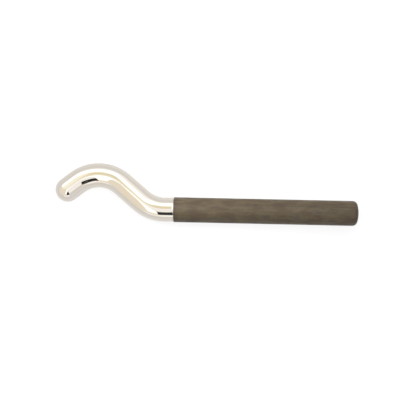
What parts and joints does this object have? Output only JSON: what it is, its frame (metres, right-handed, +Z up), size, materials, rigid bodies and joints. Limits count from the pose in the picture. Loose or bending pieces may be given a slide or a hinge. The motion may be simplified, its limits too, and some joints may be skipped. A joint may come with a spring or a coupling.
{
  "type": "hive tool",
  "caption": "Hook-necked hand tool: a polished round steel tube bent in an S, with a domed tip, on a straight handle in a flush closed rubber grip.",
  "frame": {"origin": "middle of the tool's outline, on the surface that it lies on", "axes": "+X runs along the handle from the domed tip to the butt, +Y is the side that the hook rises to, +Z is up, square to the plane of the two bends"},
  "size_m": [0.2727, 0.0518, 0.0225],
  "materials": {
    "bright_nickel": "bright nickel plate over buffed steel, mirror polished with a slightly warm tint",
    "turned_steel": "turned and drawn mild steel, lightly oiled",
    "zinc_plate": "bright zinc plate on rolled spring steel",
    "black_nylon": "black moulded nylon",
    "grip_rubber": "warm grey-brown moulded rubber, matt with a low sheen and faint lengthwise streaks"
  },
  "bodies": {
    "root": {"neck_tube": "bright_nickel", "tip_cap": "bright_nickel", "joint_plug": "turned_steel", "core_tube": "turned_steel", "lock_pin_front": "zinc_plate", "lock_pin_rear": "zinc_plate", "tail_plug": "black_nylon", "grip_sleeve": "grip_rubber"}
  },
  "joints": []
}
